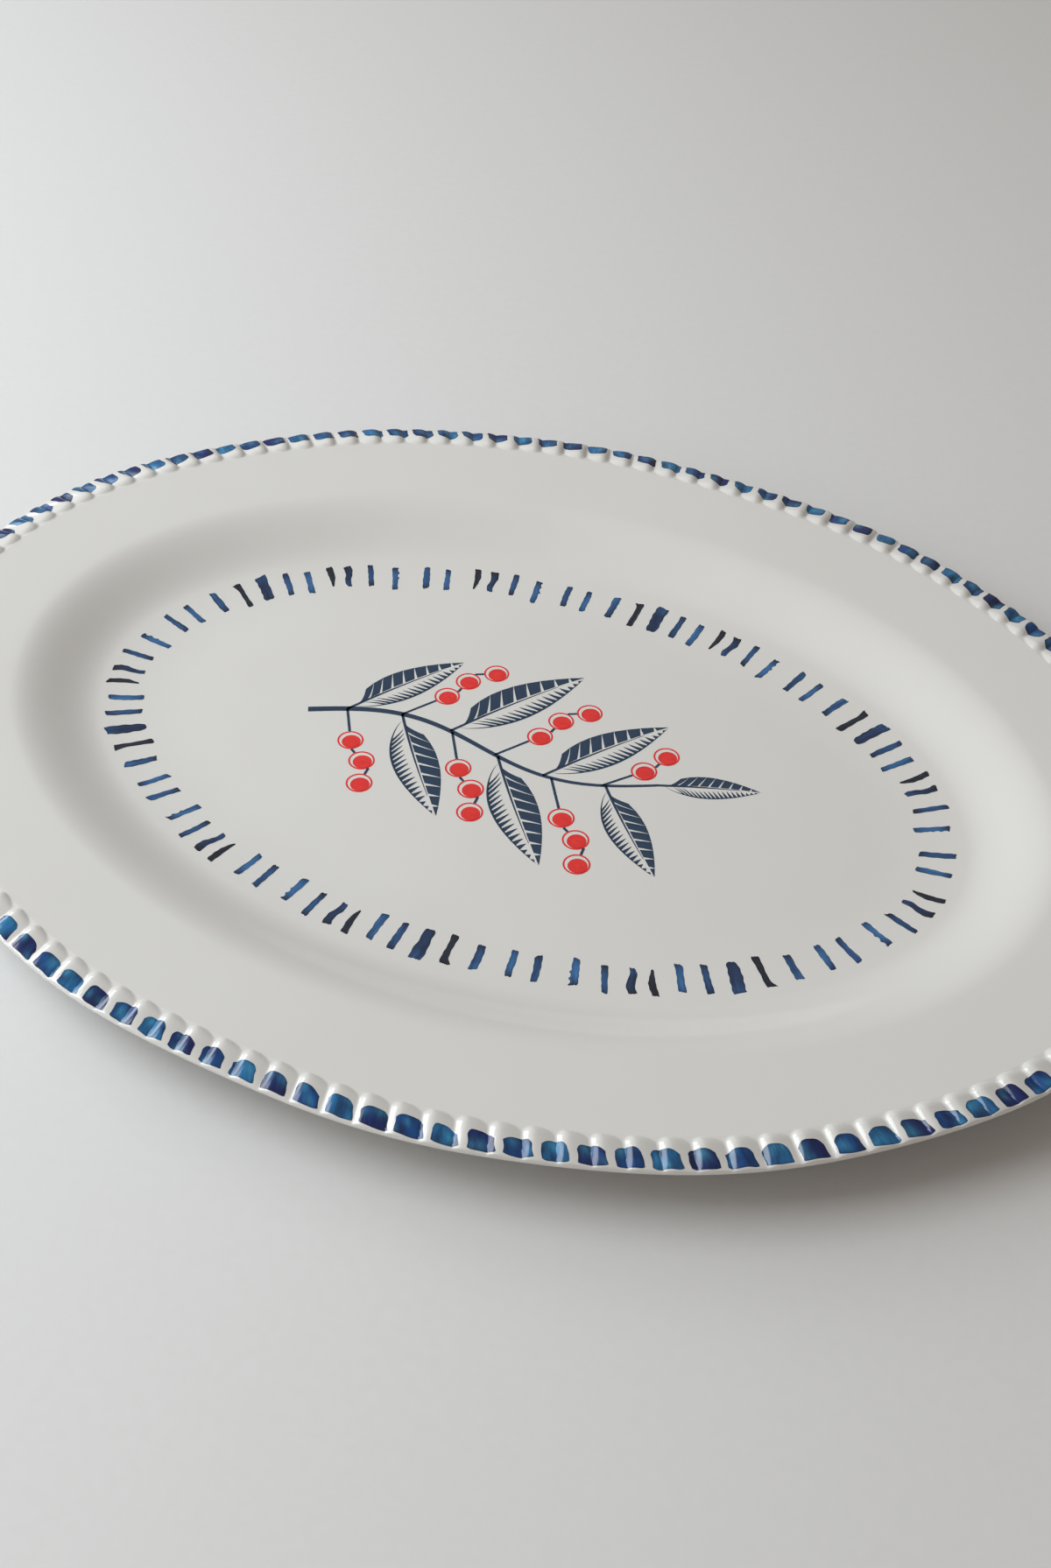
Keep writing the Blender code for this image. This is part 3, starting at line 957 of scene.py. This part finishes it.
def dark_half(sheet, leaf, seed):
    """Solid bands between thin white veins."""
    f = np.linspace(0.10, 1, 9)
    edges = np.linspace(0.02, 1.0, VEINS + 1)
    gap = VEIN_GAP * (1.1 - f)
    for start, end in zip(edges, edges[1:]):
        first = leaf_point(leaf, start + VEIN_SLANT * f * (1 - start) + gap, f)
        second = leaf_point(leaf, end + VEIN_SLANT * f * (1 - end) - gap, f)
        band(sheet, first, second, SPRIG_NAVY, seed)


def light_half(sheet, leaf, seed):
    """Strokes that begin in a point at uneven places and widen towards the margin."""
    for mark in np.linspace(0.06, 0.94, 2 * VEINS):
        inner = 0.18 + 0.22 * ((mark * 37) % 1)
        f = np.linspace(inner, 0.96, 8)
        half = STROKE_HALF_WIDTH * ((f - inner) / (1 - inner)) ** 0.8 + STROKE_POINT
        middle = mark + VEIN_SLANT * f * (1 - mark)
        first, second = [leaf_point(leaf, middle + side * half, -f) for side in (-1, 1)]
        band(sheet, first, second, SPRIG_NAVY, seed)


def margin_and_midrib(sheet, leaf, seed):
    """A line round the light half, and a midrib that grows out of the stem."""
    t = np.linspace(0, 1, 30)
    inside, outside = [leaf_point(leaf, t, np.full(t.shape, f)) for f in MARGIN_LINE]
    band(sheet, inside, outside, SPRIG_NAVY, seed)
    part = t[1:24]
    midrib = np.concatenate((stem_at(leaf.t)[None], leaf_point(leaf, part, np.zeros(part.shape))))
    stroke(sheet, midrib, np.linspace(*MIDRIB_WIDTHS, len(midrib)), SPRIG_NAVY, seed)


for leaf in LEAVES:
    leaf_seed = random.random()
    for draw in (dark_half, light_half, margin_and_midrib):
        draw(sprig_sheet, leaf, leaf_seed)
stem_line = stem_at(np.linspace(0, 1, 60))
stroke(sprig_sheet, stem_line, np.linspace(*STEM_WIDTHS, len(stem_line)), SPRIG_NAVY, random.random())
print(f"sprig: {len(sprig_sheet.points)} marks")

# %% Berries on short stalks
BERRY_RADIUS = 0.0047
BERRY_STEP = 0.0112
BERRY_STAGGER = 0.0012
RING_INNER = 0.86
ROUND_RADIUS = 0.72
ROUND_SHIFT = np.array((0.12, -0.12))
STALK_WIDTH = 0.0010
Cluster = namedtuple("Cluster", "t turn first berries")
CLUSTERS = (
    Cluster(0.10, -57, 0.017, 3), Cluster(0.25, 58, 0.019, 3), Cluster(0.407, -57, 0.019, 3),
    Cluster(0.55, 57, 0.019, 3), Cluster(0.725, -56, 0.020, 3), Cluster(0.86, 52, 0.017, 2),
)


def circle(centre, radius, count=33):
    """Plan points of a circle."""
    angle = np.linspace(0, 2 * np.pi, count)
    return centre + radius * np.column_stack((np.cos(angle), np.sin(angle)))


def draw_berry(sheet, centre, seed):
    """A red ring with a solid round pushed to its shadow side, so that a bright crescent is left."""
    band(sheet, circle(centre, BERRY_RADIUS), circle(centre, BERRY_RADIUS * RING_INNER), SPRIG_RED, seed)
    shadow = centre + BERRY_RADIUS * ROUND_SHIFT
    band(sheet, circle(shadow, BERRY_RADIUS * ROUND_RADIUS), circle(shadow, 0.0), SPRIG_RED, seed)


for cluster in CLUSTERS:
    ahead, left = directions(cluster.turn)
    joint = stem_at(cluster.t)
    for berry in range(cluster.berries):
        stagger = BERRY_STAGGER * (1 if berry % 2 else -1)
        centre = stem_at(cluster.t) + ahead * (cluster.first + berry * BERRY_STEP) + left * stagger
        toward = (centre - joint) / np.linalg.norm(centre - joint)
        stalk = np.linspace(joint, centre - toward * BERRY_RADIUS, 6)
        stroke(sprig_sheet, stalk, STALK_WIDTH, SPRIG_NAVY, random.random())
        draw_berry(sprig_sheet, centre, random.random())
        joint = centre + toward * BERRY_RADIUS
sprig = add_piece(sprig_sheet.mesh("printed_sprig"), sprig_ink, "centre_decor_foil")
print(f"{sprig.name}: {len(sprig.data.polygons)} faces, {sprig.dimensions.x / MM:.0f} mm long")

# %% [markdown]
# ## Floor and light
#
# The platter lies on a plain pale table beside a window: one large area lamp at its left, so the table
# darkens to the right and the rim throws a soft shadow there. Two more panels stretch the window. One stands
# farther off and is turned to the far side of the table, which is the brightest, and a small one in front
# lightens the shadow. A grey room fills the rest. It is a little warmer than the window and brighter on the
# window's side. The floor is part of the stage and not of the platter. Its grey has a faint grain, so that
# it isn't one flat colour.

# %% Table
FLOOR_GREY = (0.70, 0.70, 0.70)
FLOOR_SHADE = (0.67, 0.668, 0.662)
FLOOR_HALF = 6.0
FLOOR_ROUGHNESS = 0.75
GRAIN_SCALE = 240.0


def pale_table():
    """A wide flat floor under the platter."""
    mesh = bpy.data.meshes.new("pale_table")
    corners = [(-1, -1), (1, -1), (1, 1), (-1, 1)]
    mesh.from_pydata([(x * FLOOR_HALF, y * FLOOR_HALF, 0.0) for x, y in corners], [], [(0, 1, 2, 3)])
    material = bpy.data.materials.new("pale_table")
    material.use_nodes = True
    tree = material.node_tree
    shader = tree.nodes["Principled BSDF"]
    shader.inputs["Roughness"].default_value = FLOOR_ROUGHNESS
    mix = tree.nodes.new("ShaderNodeMix")
    mix.data_type = "RGBA"
    mix.inputs["A"].default_value = (*FLOOR_GREY, 1)
    mix.inputs["B"].default_value = (*FLOOR_SHADE, 1)
    tree.links.new(noise(tree, place(tree), GRAIN_SCALE, 4.0), mix.inputs["Factor"])
    tree.links.new(mix.outputs["Result"], shader.inputs["Base Color"])
    mesh.materials.append(material)
    table = bpy.data.objects.new("pale_table", mesh)
    bpy.context.scene.collection.objects.link(table)
    return table


print("stage:", pale_table().name)

# %% The grey room
ROOM_COLOUR = (1.13, 1.0, 0.89, 1)
ROOM_DIM = 0.19
ROOM_BRIGHT = 0.39
WINDOW_SIDE = (-0.64, -0.77, 0.0)


def grey_room():
    """A world that grows brighter towards the window's side."""
    world = bpy.data.worlds.new("grey_room")
    world.use_nodes = True
    tree = world.node_tree
    background = tree.nodes["Background"]
    background.inputs["Color"].default_value = ROOM_COLOUR
    toward = tree.nodes.new("ShaderNodeTexCoord")
    facing = tree.nodes.new("ShaderNodeVectorMath")
    facing.operation = "DOT_PRODUCT"
    facing.inputs[1].default_value = WINDOW_SIDE
    strength = tree.nodes.new("ShaderNodeMapRange")
    strength.inputs["From Min"].default_value = -1.0
    strength.inputs["To Min"].default_value = ROOM_DIM
    strength.inputs["To Max"].default_value = ROOM_BRIGHT
    tree.links.new(toward.outputs["Generated"], facing.inputs[0])
    tree.links.new(facing.outputs["Value"], strength.inputs["Value"])
    tree.links.new(strength.outputs["Result"], background.inputs["Strength"])
    bpy.context.scene.world = world
    return world


print("world:", grey_room().name)

# %% The window
DAYLIGHT = (0.93, 1.0, 1.04)
PLATTER_MIDDLE = (0.0, 0.0, 0.0)
FAR_TABLE = (0.2, 1.1, 0.0)


def soft_panel(name, place_at, aim_at, width, height, power):
    """An area lamp that faces a point; sizes are in metres and the power is in watts."""
    data = bpy.data.lights.new(name, "AREA")
    data.shape = "RECTANGLE"
    data.size = width
    data.size_y = height
    data.energy = power
    data.color = DAYLIGHT
    lamp = bpy.data.objects.new(name, data)
    lamp.location = place_at
    lamp.rotation_euler = (Vector(aim_at) - Vector(place_at)).to_track_quat("-Z", "Y").to_euler()
    bpy.context.scene.collection.objects.link(lamp)
    return lamp


soft_panel("window_lamp", (-0.86, -0.34, 0.89), PLATTER_MIDDLE, 0.9, 0.8, 12.0)
soft_panel("back_window", (-1.75, 0.62, 0.85), FAR_TABLE, 1.0, 0.9, 14.5)
soft_panel("front_window", (-1.05, -0.80, 0.42), PLATTER_MIDDLE, 0.4, 0.4, 2.4)
bpy.context.scene.view_settings.view_transform = "Standard"

# %% [markdown]
# ## Finish
#
# The dressed platter has to stay inside the box of its solids.

# %% Finish
import json
